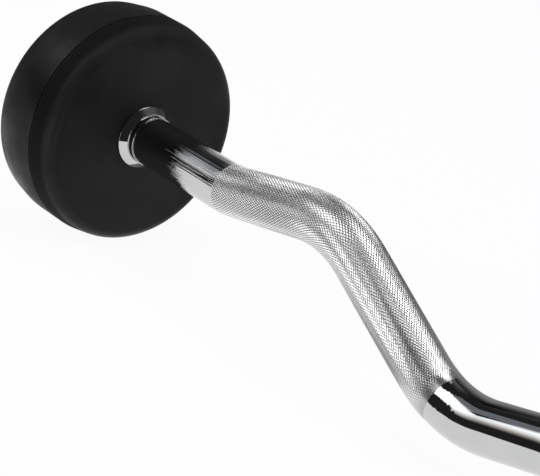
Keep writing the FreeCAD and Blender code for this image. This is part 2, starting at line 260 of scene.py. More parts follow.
def on_bar(along, turn, radius):
    """Return points of the bar's surface from a length along it, an angle round it and a radius.

    The length counts from the bar's middle, to the right if positive. The place on the centre line is
    its knot's place plus a straight step or an arc, and the point lies at the radius from it, at the
    angle from the bend's upper side.
    """
    side = np.where(along < 0, -1.0, 1.0)
    length = np.abs(along)
    knot = np.clip(np.searchsorted(LINE_LENGTHS, length, side="right") - 1, 0, len(LINE_BENDS) - 1)
    step = length - LINE_LENGTHS[knot]
    start = LINE_HEADINGS[knot]
    bend = LINE_BENDS[knot]
    heading = start + step * bend
    curve = np.where(bend == 0, 1.0, bend)
    out = np.where(bend == 0, step * np.cos(start), (np.sin(heading) - np.sin(start)) / curve)
    up = np.where(bend == 0, step * np.sin(start), (np.cos(start) - np.cos(heading)) / curve)
    x = LINE_PLACES[knot, 0] + out - radius * np.cos(turn) * np.sin(heading)
    z = LINE_PLACES[knot, 1] + up + radius * np.cos(turn) * np.cos(heading)
    return np.stack([side * x, radius * np.sin(turn) * np.ones_like(x), z], axis=-1)


def make_bar():
    """Return the bent bar: circles carried along the centre line.

    The radius is the bar's own, a little less under the knurls and the spigot's inside the heads.
    """
    steps = np.array([KNURL_INNER, KNURL_OUTER, SHOULDER])
    edges = np.stack([steps - STEP_WIDTH, steps + STEP_WIDTH], axis=-1).ravel()
    half = np.unique(np.concatenate([np.arange(0, BAR_END, RING_STEP), LINE_LENGTHS, edges]))
    levels = np.repeat([BAR_RADIUS, BAR_RADIUS - KNURL_SEAT, BAR_RADIUS, SPIGOT_RADIUS], 2)
    radius = np.interp(half, np.concatenate([[0], edges, [BAR_END]]), levels)
    along = np.concatenate([[-BAR_END], -half[:0:-1], half, [BAR_END]])
    radius = np.concatenate([[0], radius[:0:-1], radius, [0]])
    points = on_bar(along[:, None], full_turn(BAR_SIDES)[None, :], radius[:, None])
    bar = new_mesh("curl_bar", points.reshape(-1, 3), [grid_faces(len(along), BAR_SIDES, False)])
    add_surface_map(bar, BAR_SIDES, along)
    close_poles(bar)
    smooth(bar)
    return bar


def knurl_strength(along):
    """Return the knurl's share of its full depth.

    It is nothing at the inner end, rises over a short smooth step to a worn share, and from there evenly
    to the full depth past the bend between the two grips.
    """
    length = np.abs(along)
    share = np.clip((length - KNURL_INNER) / KNURL_FADE, 0, 1)
    worn = np.interp(length, [KNURL_INNER, KNURL_FULL], [KNURL_WORN_SHARE, 1])
    return worn * share * share * (3 - 2 * share)


def knurl_radius(along, rise):
    """Return the radius of a knurl's valleys (rise 0) or tops (rise 1)."""
    return BAR_RADIUS + knurl_strength(along) * (KNURL_RISE - KNURL_DEPTH * (1 - rise))


def knurl_faces(rows, seat_rings):
    """Return the faces of a knurled sleeve with the given numbers of lattice steps and seat rings.

    The vertices come in this order: the crossings of the valleys, row by row, then the four corners of
    each diamond's top, from the inner one round, then the rings of the seat. A flank joins two crossings
    to one edge of a top, and a wall at each end joins the half diamonds to the seat.
    """
    lattice = np.arange((rows + 1) * KNURL_STARTS).reshape(rows + 1, KNURL_STARTS)
    top = lattice.size + np.arange(4 * lattice.size).reshape(rows + 1, KNURL_STARTS, 4)
    seat_start = lattice.size + top.size
    seat = seat_start + np.arange(seat_rings * KNURL_STARTS).reshape(seat_rings, KNURL_STARTS)
    right = lattice
    left = np.roll(lattice, 1, axis=1)
    odd = (np.arange(rows + 1) % 2)[:, None] == 1
    nearer = np.where(odd[1:], lattice[:-1], np.roll(lattice[:-1], 1, axis=1))
    farther = np.where(odd[:-1], lattice[1:], np.roll(lattice[1:], 1, axis=1))

    def flank(corner_a, corner_b, edge_a, edge_b):
        """Return the quads between two corners of the diamonds and one edge of their tops."""
        return np.stack([corner_a, corner_b, edge_b, edge_a], axis=-1).reshape(-1, 4)

    faces = [
        flank(nearer, right[1:], top[1:, :, 0], top[1:, :, 1]),
        flank(left[1:], nearer, top[1:, :, 3], top[1:, :, 0]),
        flank(right[:-1], farther, top[:-1, :, 1], top[:-1, :, 2]),
        flank(farther, left[:-1], top[:-1, :, 2], top[:-1, :, 3]),
        top[1:-1].reshape(-1, 4),
        top[0][:, 1:].reshape(-1, 3),
        top[-1][:, [3, 0, 1]].reshape(-1, 3),
    ]
    for end, order in ((0, 1), (-1, -1)):
        wall = np.stack([left[end], np.roll(seat[end], 1), seat[end], right[end],
                         top[end, :, 1], top[end, :, 3]], axis=-1)
        faces.append(wall[:, ::order])
    faces.append(grid_faces(seat_rings, KNURL_STARTS, False)[:, ::-1] + seat_start)
    return faces


def make_knurl(name, side):
    """Return a knurled sleeve: a lattice of diamonds, each with four flanks and a flat top.

    Row k of the lattice lies half an axial pitch past row k - 1 and is turned by half a step. The
    valleys cross at the half steps of each row. A diamond's corners are the crossings beside it in its
    own row and in line with it in the rows before and after, and its top is the same diamond, shrunk
    towards the middle and raised. The end rows have half diamonds with a flat wall, and a plain seat
    closes the sleeve inside. The attribute "relief" is 0 in the valleys and 1 on the tops at full depth,
    and both draw towards one plain value as the knurl gets shallower.
    """
    step = 2 * np.pi / KNURL_STARTS
    row_pitch = step * BAR_RADIUS / np.tan(KNURL_ANGLE) / 2
    rows = int(round((KNURL_OUTER - KNURL_INNER) / row_pitch))
    row = np.arange(rows + 1)
    along = KNURL_INNER + (KNURL_OUTER - KNURL_INNER) * row / rows
    along = np.broadcast_to(along[:, None], (rows + 1, KNURL_STARTS))
    turn = step * (np.arange(KNURL_STARTS)[None, :] + (row[:, None] % 2) / 2)
    crossing_turn = turn + step / 2
    crossings = on_bar(side * along, crossing_turn, knurl_radius(along, 0))
    shrink_along = DIAMOND_TOP_SHARE * (along[1, 0] - along[0, 0])
    shrink_turn = DIAMOND_TOP_SHARE * step / 2
    before = np.clip(along - shrink_along, KNURL_INNER, None)
    after = np.clip(along + shrink_along, None, KNURL_OUTER)
    tops = np.stack([
        on_bar(side * before, turn, knurl_radius(before, 1)),
        on_bar(side * along, turn + shrink_turn, knurl_radius(along, 1)),
        on_bar(side * after, turn, knurl_radius(after, 1)),
        on_bar(side * along, turn - shrink_turn, knurl_radius(along, 1)),
    ], axis=2)
    seat_rows = np.unique(np.append(np.arange(0, rows, SEAT_ROW_STEP), rows))
    seats = on_bar(side * along[seat_rows], crossing_turn[seat_rows], BAR_RADIUS - KNURL_SEAT)
    vertices = np.concatenate([points.reshape(-1, 3) for points in (crossings, tops, seats)])
    knurl = new_mesh(name, vertices, knurl_faces(rows, len(seat_rows)))

    # The relief attribute sets the painted shade of the valleys in the satin chrome.
    strength = knurl_strength(along)
    valleys = PLAIN_RELIEF * (1 - strength)
    peaks = np.repeat(PLAIN_RELIEF + (1 - PLAIN_RELIEF) * strength, tops.shape[2])
    relief = np.concatenate([valleys.ravel(), peaks, np.zeros(seats[..., 0].size)])
    knurl.data.attributes.new("relief", "FLOAT", "POINT").data.foreach_set("value", relief)
    smooth(knurl, KNURL_SHARP_ANGLE)
    return knurl


def rounded(corners):
    """Return an outline with its corners rounded.

    A corner is (distance, radius, round). A round is an arc that touches both lines at the corner, so
    it starts at round / tan(half the angle between them) from the corner.
    """
    corners = np.array(corners, dtype=float)
    outline = []
    for index in range(len(corners)):
        corner = corners[index, :2]
        size = corners[index, 2]
        if size == 0:
            outline.append(corner[None])
            continue
        back = corners[index - 1, :2] - corner
        on = corners[(index + 1) % len(corners), :2] - corner
        back = back / np.linalg.norm(back)
        on = on / np.linalg.norm(on)
        half = np.arccos(np.clip(back @ on, -1, 1)) / 2
        middle = (back + on) / np.linalg.norm(back + on)
        centre = corner + middle * size / np.sin(half)
        sweep = np.linspace(-1, 1, ROUND_POINTS)[:, None] * (np.pi / 2 - half)
        across = on - middle * (on @ middle)
        across = across / np.linalg.norm(across)
        outline.append(centre + size * (np.sin(sweep) * across - np.cos(sweep) * middle))
    return np.concatenate(outline)


def turned(name, side, outline, ring):
    """Return a piece turned about the heads' axis from an outline of (distance, radius).

    The distance counts outwards from the head's inner face, on the right for side 1 and on the left
    for side -1. A ring's outline closes on itself, and any other starts and ends on the axis.
    """
    turn = full_turn(HEAD_SIDES)
    x = side * (HALF_SPAN + outline[:, 0])
    points = np.stack(np.broadcast_arrays(x[:, None], outline[:, 1:] * np.sin(turn),
                                          outline[:, 1:] * np.cos(turn)), axis=-1)
    piece = new_mesh(name, points.reshape(-1, 3), [grid_faces(len(outline), HEAD_SIDES, ring)])
    if not ring:
        close_poles(piece)
    smooth(piece)
    return piece


def make_collar(name, side):
    """Return the stepped collar: a thin lip, a coned band with a short land, and a neck inside."""
    band = -COLLAR_LENGTH
    front = band - LIP_LENGTH
    return turned(name, side, rounded([
        (front, COLLAR_BORE, 0),
        (front, LIP_RADIUS, LIP_EDGE),
        (band, LIP_RADIUS, 0),
        (band, COLLAR_FRONT_RADIUS, COLLAR_EDGE),
        (-COLLAR_LAND, COLLAR_BACK_RADIUS, COLLAR_EDGE),
        (0, COLLAR_BACK_RADIUS, COLLAR_EDGE),
        (0, NECK_RADIUS, 0),
        (CASING_FACE, NECK_RADIUS, 0),
        (CASING_FACE, COLLAR_BORE, 0),
    ]), True)


def make_casing(name, side):
    """Return the rubber casing: rounded, tapered rims, a plain wall and a groove by the inner rim."""
    back = HEAD_THICKNESS
    rim = HEAD_RADIUS - RIM_TAPER
    groove = HEAD_RADIUS - GROOVE_DEPTH
    cavity = HEAD_RADIUS - CASING_WALL
    inner_groove = RIM_LENGTH + GROOVE_WIDTH
    return turned(name, side, rounded([
        (0, CASING_HOLE, 0),
        (0, rim, RIM_ROUND),
        (RIM_LENGTH, HEAD_RADIUS, GROOVE_EDGE),
        (RIM_LENGTH, groove, 0),
        (inner_groove, groove, 0),
        (inner_groove, HEAD_RADIUS, GROOVE_EDGE),
        (back - RIM_LENGTH, HEAD_RADIUS, 0),
        (back, rim, RIM_ROUND),
        (back, CAP_HOLE, 0),
        (back - CASING_BACK, CAP_HOLE, 0),
        (back - CASING_BACK, cavity, 0),
        (CASING_FACE, cavity, 0),
        (CASING_FACE, CASING_HOLE, 0),
    ]), True)


def make_cap(name, side):
    """Return the dished end cap: a flat rim round a shallow dish, and a skirt inside the core."""
    face = HEAD_THICKNESS
    seat = face - CASING_BACK
    dish = face - CAP_DISH_DEPTH
    inside = SKIRT_RADIUS - CAP_WALL
    return turned(name, side, rounded([
        (dish - CAP_WALL, 0, 0),
        (dish - CAP_WALL, inside, 0),
        (seat - SKIRT_LENGTH, inside, 0),
        (seat - SKIRT_LENGTH, SKIRT_RADIUS, 0),
        (seat, SKIRT_RADIUS, 0),
        (seat, CAP_RADIUS, 0),
        (face, CAP_RADIUS, CAP_EDGE),
        (face, CAP_RADIUS - CAP_RIM_WIDTH, CAP_EDGE),
        (dish, CAP_RADIUS - CAP_RIM_WIDTH - CAP_DISH_DEPTH, CAP_EDGE),
        (dish, 0, 0),
    ]), False)


def grey(level):
    """Return the opaque grey of the given level."""
    return (level, level, level, 1)


def bring(tree, value, socket):
    """Bring a value to a socket: a link from another node's socket, or a plain number or colour."""
    if isinstance(value, bpy.types.NodeSocket):
        tree.links.new(value, socket)
    else:
        socket.default_value = value


def feed(tree, node, **values):
    """Bring values to a node's inputs of these names, in which _ stands for a space."""
    for key, value in values.items():
        bring(tree, value, node.inputs[key.replace("_", " ")])


def add_node(tree, kind, **settings):
    """Add a shader node, with its properties set by name and then its inputs."""
    node = tree.nodes.new(kind)
    for key in [key for key in settings if key in node.bl_rna.properties]:
        setattr(node, key, settings.pop(key))
    feed(tree, node, **settings)
    return node


def finish_nodes(name):
    """Return a new node material, its node tree and its main shader."""
    finish = bpy.data.materials.new(name)
    finish.use_nodes = True
    tree = finish.node_tree
    return finish, tree, tree.nodes["Principled BSDF"]


def coordinates(tree, kind):
    """Return the texture coordinates of the given kind."""
    return add_node(tree, "ShaderNodeTexCoord").outputs[kind]


def parts(tree, vector):
    """Return the X, Y and Z of a vector, by name."""
    return add_node(tree, "ShaderNodeSeparateXYZ", Vector=vector).outputs


def absolute(tree, value):
    """Return a value without its sign."""
    node = add_node(tree, "ShaderNodeMath", operation="ABSOLUTE")
    bring(tree, value, node.inputs[0])
    return node.outputs["Value"]


def combined(tree, operation, first, *others):
    """Return a value added to others, multiplied by them or the like, one after another."""
    for other in others:
        node = add_node(tree, "ShaderNodeMath", operation=operation)
        bring(tree, first, node.inputs[0])
        bring(tree, other, node.inputs[1])
        first = node.outputs["Value"]
    return first


def noise(tree, vector, scale, detail):
    """Return a noise over a vector, finer with a larger scale and with more detail."""
    return add_node(tree, "ShaderNodeTexNoise", Vector=vector, Scale=scale, Detail=detail).outputs["Fac"]


def stretched(tree, vector, stretch):
    """Return a vector with each of its parts multiplied."""
    return add_node(tree, "ShaderNodeMapping", Vector=vector, Scale=stretch).outputs["Vector"]


def ranged(tree, value, low, high):
    """Return a value between 0 and 1 brought to the range from low to high."""
    node = add_node(tree, "ShaderNodeMapRange", clamp=False, Value=value, To_Min=low, To_Max=high)
    return node.outputs["Result"]


def faded(tree, value, start, end, low, high):
    """Return a value's smooth step between two places, from low to high."""
    step = add_node(tree, "ShaderNodeMapRange", interpolation_type="SMOOTHSTEP", Value=value,
                    From_Min=start, From_Max=end, To_Min=low, To_Max=high)
    return step.outputs["Result"]


def tinted(tree, value, dark, light):
    """Return a colour between dark and light that follows a value."""
    ramp = add_node(tree, "ShaderNodeValToRGB", Fac=value)
    ramp.color_ramp.elements[0].color = dark
    ramp.color_ramp.elements[1].color = light
    return ramp.outputs["Color"]


def blended(tree, share, first, second, way="MIX"):
    """Return two colours mixed by a share, or blended in another way."""
    node = add_node(tree, "ShaderNodeMix", data_type="RGBA", blend_type=way,
                    Factor=share, A=first, B=second)
    return node.outputs["Result"]


def pressed(tree, pattern, height, strength, **under):
    """Return the normals of a surface with a pattern pressed into it, over other normals if given."""
    bump = add_node(tree, "ShaderNodeBump", Height=pattern, Distance=height, Strength=strength, **under)
    return bump.outputs["Normal"]


# Finishes: a noise is a pair of scale and detail, a pair of tones is dark and light, and a pair of
# roughnesses is low and high.
CHROME_CLOUD = (60.0, 2.0)
CHROME_TONES = ((0.55, 0.555, 0.56, 1), grey(0.62))
POLISH_STRETCH = (70, 7, 1)
POLISH_NOISE = (1.0, 3.0)
POLISH_HEIGHT = 0.36 * MM
POLISH_DEPTH_SHARES = (0.02, 1.0)
POLISH_ROUGHNESS = (0.02, 0.08)
RIPPLE_NOISE = (300.0, 1.0)
RIPPLE_HEIGHT = 0.08 * MM
RIPPLE_REACH = 26.0 * MM
RIPPLE_FULL_REACH = 12.0 * MM
RIPPLE_OVERLAP = 4.0 * MM


def bar_chrome():
    """Bright chrome with polishing lines along the bar, and ripples by the inner ends of the knurls.

    The lines are deep at the bar's ends and faint in its middle.
    """
    finish, tree, shader = finish_nodes("bright_chrome")
    surface = coordinates(tree, "UV")
    length = absolute(tree, parts(tree, surface)["Y"])
    place = coordinates(tree, "Object")
    lines = noise(tree, stretched(tree, surface, POLISH_STRETCH), *POLISH_NOISE)
    depth = faded(tree, length, KNURL_INNER, KNURL_OUTER, *POLISH_DEPTH_SHARES)
    before = faded(tree, length, KNURL_INNER - RIPPLE_REACH, KNURL_INNER - RIPPLE_FULL_REACH, 0.0, 1.0)
    after = faded(tree, length, KNURL_INNER, KNURL_INNER + RIPPLE_OVERLAP, 1.0, 0.0)
    near = combined(tree, "MULTIPLY", before, after)
    ripples = pressed(tree, noise(tree, place, *RIPPLE_NOISE), RIPPLE_HEIGHT, near)
    feed(tree, shader, Metallic=1.0,
         Base_Color=tinted(tree, noise(tree, place, *CHROME_CLOUD), *CHROME_TONES),
         Roughness=ranged(tree, lines, *POLISH_ROUGHNESS),
         Normal=pressed(tree, lines, POLISH_HEIGHT, depth, Normal=ripples))
    return finish


SATIN_METAL_SHARE = 0.86
# Painted shade: the satin tones run from the dark painted valleys to the bright tops, over the reliefs
# below.
SATIN_VALLEY_SHADE_TONES = ((0.008, 0.008, 0.009, 1), grey(0.96))
SATIN_VALLEY_SHADE_RELIEFS = (0.0, 0.7)
SATIN_ROUGHNESS = (0.19, 0.27)
SATIN_CLOUD = (400.0, 2.0)
SATIN_CLOUD_ROUGHNESS = (0.0, 0.06)


def knurl_chrome():
    """Satin chrome over the rolled diamonds, with bright tops and painted shade in the valleys.

    It is smoother towards the bar's middle, where it is more worn.
    """
    finish, tree, shader = finish_nodes("satin_chrome")
    place = coordinates(tree, "Object")
    relief = add_node(tree, "ShaderNodeAttribute", attribute_name="relief").outputs["Fac"]
    # Painted shade: the valleys are painted dark, and the tone rises with the relief towards the bright
    # tops.
    height = faded(tree, relief, *SATIN_VALLEY_SHADE_RELIEFS, 0.0, 1.0)
    worn = faded(tree, absolute(tree, parts(tree, place)["X"]), *INNER_GRIP_SPAN, *SATIN_ROUGHNESS)
    cloud = ranged(tree, noise(tree, place, *SATIN_CLOUD), *SATIN_CLOUD_ROUGHNESS)
    feed(tree, shader, Metallic=SATIN_METAL_SHARE,
         Base_Color=tinted(tree, height, *SATIN_VALLEY_SHADE_TONES),
         Roughness=combined(tree, "ADD", worn, cloud))
    return finish


RING_STRETCH = (2500, 20, 20)
RING_NOISE = (1.0, 2.0)
RING_TONES = (grey(0.55), (0.62, 0.62, 0.61, 1))
RING_ROUGHNESS = (0.03, 0.10)


def collar_chrome():
    """Bright chrome on a turned ring."""
    finish, tree, shader = finish_nodes("turned_chrome")
    rings = noise(tree, stretched(tree, coordinates(tree, "Object"), RING_STRETCH), *RING_NOISE)
    feed(tree, shader, Metallic=1.0,
         Base_Color=tinted(tree, rings, *RING_TONES),
         Roughness=ranged(tree, rings, *RING_ROUGHNESS))
    return finish


# Rubber: its painted shade on the cone and painted highlight on the round change near the inner face
# at shares of the rim's round before the face, and its upper side starts and is full at shares of the
# head's radius.
RUBBER_GRAIN = (1400.0, 3.0)
RUBBER_GRAIN_HEIGHT = 0.05 * MM
RUBBER_GRAIN_STRENGTH = 0.12
RUBBER_MARKS = (28.0, 4.0)
RUBBER_MARK_RANGE = (0.35, 0.65)
RUBBER_MARK_ROUGHNESS = (0.3, 0.6)
RUBBER_TONES = (grey(0.008), grey(0.014))
# Painted shade: the wall and all behind it are darkened to this share of the inner face's tone.
RUBBER_WALL_SHADE_SHARE = 0.7
RUBBER_SPECULAR = 0.14
# Painted shade: the coned inner rim is painted darkest, and it is also dull.
CONE_SHADE_TONE = grey(0.0035)
CONE_ROUGHNESS = 0.8
CONE_SHADE_END_SHARES = (1.2, 0.4)
# Painted highlight: the round at the rim's edge is painted palest.
ROUND_HIGHLIGHT_TONE = grey(0.0145)
ROUND_HIGHLIGHT_START_SHARES = (1.0, 0.5)
ROUND_HIGHLIGHT_END_SHARES = (0.12, 0.0)
UPPER_SIDE_SHARES = (0.6, 0.9)
UPPER_ROUGHNESS = 0.35


def moulded_rubber():
    """Black rubber with a fine grain and faint handling marks.

    The wall and all behind it carry a little painted shade against the inner face, the coned inner rim
    has the deepest painted shade and is dull, and the round at its edge has a painted highlight that
    makes it palest. The upper side is duller than the rest.
    """
    finish, tree, shader = finish_nodes("moulded_rubber")
    place = coordinates(tree, "Object")
    sides = parts(tree, place)
    marks = noise(tree, place, *RUBBER_MARKS)
    face = HEAD_THICKNESS / 2
    wall = face - RIM_LENGTH
    inwards = combined(tree, "SUBTRACT", HALF_SPAN + face, absolute(tree, sides["X"]))

    def by_rim(low):
        """Return low on the wall and behind it, and 1 from the groove inwards."""
        return faded(tree, inwards, wall, wall + GROOVE_WIDTH, low, 1.0)

    def by_face(shares, low, high):
        """Return a step from low to high on the round before the inner face."""
        return faded(tree, inwards, *(face - RIM_ROUND * np.array(shares)), low, high)

    # Painted shade: the cone's mask darkens the coned inner rim and dulls it.
    cone = combined(tree, "MULTIPLY", by_rim(0.0), by_face(CONE_SHADE_END_SHARES, 1.0, 0.0))
    # Painted highlight: the edge's mask pales the round at the rim's edge.
    edge = combined(tree, "MULTIPLY", by_face(ROUND_HIGHLIGHT_START_SHARES, 0.0, 1.0),
                    by_face(ROUND_HIGHLIGHT_END_SHARES, 1.0, 0.0))
    # The handling marks, with painted shade that darkens the wall and all behind it.
    body = blended(tree, 1.0, tinted(tree, marks, *RUBBER_TONES), by_rim(RUBBER_WALL_SHADE_SHARE), "MULTIPLY")
    handled = faded(tree, marks, *RUBBER_MARK_RANGE, *RUBBER_MARK_ROUGHNESS)
    upper_start, upper_full = HEAD_RADIUS * np.array(UPPER_SIDE_SHARES)
    upper = faded(tree, sides["Z"], upper_start, upper_full, 0.0, UPPER_ROUGHNESS)
    dull = add_node(tree, "ShaderNodeMix", data_type="FLOAT", Factor=cone,
                    A=combined(tree, "ADD", handled, upper), B=CONE_ROUGHNESS)
    grain = noise(tree, place, *RUBBER_GRAIN)
    feed(tree, shader, Specular_IOR_Level=RUBBER_SPECULAR,
         Base_Color=blended(tree, cone, blended(tree, edge, body, ROUND_HIGHLIGHT_TONE), CONE_SHADE_TONE),
         Roughness=dull.outputs["Result"],
         Normal=pressed(tree, grain, RUBBER_GRAIN_HEIGHT, RUBBER_GRAIN_STRENGTH))
    return finish


PLASTIC_GRAIN = (1800.0, 2.0)
PLASTIC_GRAIN_HEIGHT = 0.06 * MM
PLASTIC_GRAIN_STRENGTH = 0.25
PLASTIC_TONES = ((0.010, 0.010, 0.011, 1), (0.018, 0.018, 0.019, 1))
PLASTIC_ROUGHNESS = (0.38, 0.55)


def cap_plastic():
    """Dark plastic with a spark-eroded grain."""
    finish, tree, shader = finish_nodes("grained_plastic")
    grain = noise(tree, coordinates(tree, "Object"), *PLASTIC_GRAIN)
    feed(tree, shader, Base_Color=tinted(tree, grain, *PLASTIC_TONES),
         Roughness=ranged(tree, grain, *PLASTIC_ROUGHNESS),
         Normal=pressed(tree, grain, PLASTIC_GRAIN_HEIGHT, PLASTIC_GRAIN_STRENGTH))
    return finish


IRON_GRAIN = (500.0, 5.0)
IRON_GRAIN_HEIGHT = 0.3 * MM
IRON_GRAIN_STRENGTH = 0.5
IRON_TONES = ((0.05, 0.048, 0.046, 1), (0.14, 0.135, 0.13, 1))
IRON_ROUGHNESS = (0.55, 0.8)


def cast_iron():
    """Grey cast iron, rough from the mould."""
    finish, tree, shader = finish_nodes("cast_iron")
    grain = noise(tree, coordinates(tree, "Object"), *IRON_GRAIN)
    feed(tree, shader, Metallic=1.0,
         Base_Color=tinted(tree, grain, *IRON_TONES),
         Roughness=ranged(tree, grain, *IRON_ROUGHNESS),
         Normal=pressed(tree, grain, IRON_GRAIN_HEIGHT, IRON_GRAIN_STRENGTH))
    return finish


ZINC_CLOUD = (220.0, 4.0)
ZINC_TONES = ((0.42, 0.43, 0.45, 1), (0.58, 0.59, 0.60, 1))
ZINC_ROUGHNESS = (0.2, 0.42)


def fastener_steel():
    """Zinc-plated steel with a cloudy sheen."""
    finish, tree, shader = finish_nodes("zinc_plated_steel")
    cloud = noise(tree, coordinates(tree, "Object"), *ZINC_CLOUD)
    feed(tree, shader, Metallic=1.0,
         Base_Color=tinted(tree, cloud, *ZINC_TONES),
         Roughness=ranged(tree, cloud, *ZINC_ROUGHNESS))
    return finish


def dress(piece, finish, node):
    """Give a piece its finish, and let it stand for its node on the one rigid body."""
    piece.data.materials.append(finish)
    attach(piece, "root")
    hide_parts(node)


def build_object():
    """Make every visible piece, and give the CAD nodes their finishes, also those inside the heads."""
    bright = bar_chrome()
    satin = knurl_chrome()
    ring = collar_chrome()
    rubber = moulded_rubber()
    plastic = cap_plastic()
    dress(make_bar(), bright, "ez_bar")
    for name, side in (("left", -1), ("right", 1)):
        dress(make_knurl(f"{name}_knurl", side), satin, "ez_bar")
        dress(make_collar(f"{name}_collar_ring", side), ring, f"{name}_collar")
        dress(make_casing(f"{name}_head_rubber", side), rubber, f"{name}_rubber_casing")
        dress(make_cap(f"{name}_head_cap", side), plastic, f"{name}_end_cap")
    finishes = {
        "bar": bright,
        "collar": ring,
        "rubber_casing": rubber,
        "end_cap": plastic,
        "weight_core": cast_iron(),
    }
    steel = fastener_steel()
    for node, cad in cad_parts.items():
        piece = node.partition("_")[2]
        cad.data.materials.clear()
        cad.data.materials.append(finishes.get(piece, steel))


def aimed(place, aim):
    """Return the matrix of a camera or lamp that stands at a place and looks at its aim."""
    turn = (Vector(aim) - Vector(place)).to_track_quat("-Z", "Y").to_matrix().to_4x4()
    return Matrix.Translation(Vector(place)) @ turn


def place_camera():
    """Stand the camera at the photograph's point of view, leaning about its own axis."""
    lens = bpy.data.cameras.new("camera")
    lens.lens = CAMERA_LENS
    lens.sensor_width = SENSOR_WIDTH
    camera = bpy.data.objects.new("camera", lens)
    bpy.context.scene.collection.objects.link(camera)
    camera.matrix_world = aimed(CAMERA_EYE, CAMERA_AIM) @ Matrix.Rotation(CAMERA_ROLL, 4, "Z")
    bpy.context.scene.camera = camera


def seen_directly(tree):
    """Return 1 for camera, mirror and transmitted rays, and 0 for the rays that carry diffuse light."""
    path = add_node(tree, "ShaderNodeLightPath").outputs
    return combined(tree, "MAXIMUM", path["Is Camera Ray"], path["Is Glossy Ray"],
                    path["Is Transmission Ray"])


def stage_sheet(name, corners, finish):
    """Add a flat stage sheet through the given corners."""
    mesh = bpy.data.meshes.new(name)
    mesh.from_pydata(corners, [], [tuple(range(len(corners)))])
    mesh.materials.append(finish)
    sheet = bpy.data.objects.new(name, mesh)
    bpy.context.scene.collection.objects.link(sheet)
    return sheet


def level_corners(span, depth, height):
    """Return the corners of a level sheet from its reach in x, its reach in y and its height."""
    (left, right), (front, back) = span, depth
    return [(left, front, height), (right, front, height), (right, back, height), (left, back, height)]


def only_in_reflections(card):
    """Let a stage card show in polished surfaces alone."""
    card.visible_camera = False
    card.visible_diffuse = False
    card.visible_transmission = False
    card.visible_shadow = False


def bare_finish(name):
    """Return a new material with nothing but its output, its node tree and the output's surface."""
    finish, tree, shader = finish_nodes(name)
    tree.nodes.remove(shader)
    return finish, tree, tree.nodes["Material Output"].inputs["Surface"]


FLOOR_SPAN = (-6.0, 6.0)
FLOOR_TONE = grey(0.9)
FLOOR_GLOW = 1.0
FLOOR_WHITE_SHARE = 0.94


def lay_floor():
    """Lay the pale floor: mostly plain white, with the object's soft shadow showing through."""
    finish, tree, surface = bare_finish("pale_floor")
    matt = add_node(tree, "ShaderNodeBsdfDiffuse", Color=FLOOR_TONE)
    white = add_node(tree, "ShaderNodeEmission", Strength=FLOOR_GLOW)
    share = combined(tree, "MULTIPLY", seen_directly(tree), FLOOR_WHITE_SHARE)
    mix = add_node(tree, "ShaderNodeMixShader", Fac=share)
    tree.links.new(matt.outputs["BSDF"], mix.inputs[1])
    tree.links.new(white.outputs["Emission"], mix.inputs[2])
    tree.links.new(mix.outputs["Shader"], surface)
    stage_sheet("floor", level_corners(FLOOR_SPAN, FLOOR_SPAN, FLOOR_HEIGHT), finish)


# Tent: its fields start and end at shares of its radius, to the right, to the back and up.
TENT_RADIUS = 4.0
TENT_ROWS = 24
TENT_COLUMNS = 48
TENT_GLOW = 0.02
PALE_GLOW = 0.78
PALE_HEIGHT_SHARES = (0.0, 0.67)
PALE_BACK_SHARES = (0.0, 0.6)
PALE_SIDE_SHARES = (-0.7, -0.25)
PALE_RIGHT_SHARE = 0.22
SOFT_GLOW = 0.27
SOFT_BACK_SHARES = (0.0, 0.8)
SOFT_LEFT_SHARES = (-0.65, -0.45)
SOFT_RIGHT_SHARES = (-0.35, -0.1)
DIM_GLOW = 0.1
DIM_SIDE_SHARES = (-0.1, 0.25)
DIM_BACK_SHARES = (-0.1, 0.4)
OVERHEAD_AIM = (-0.03, 0.21, 0.977)
OVERHEAD_ANGLES = np.radians((24.0, 13.0))
OVERHEAD_GLOW = 5.0


def glow_finish(name):
    """Return a new finish that only glows, its node tree and its glow."""
    finish, tree, surface = bare_finish(name)
    glow = add_node(tree, "ShaderNodeEmission")
    tree.links.new(glow.outputs["Emission"], surface)
    return finish, tree, glow


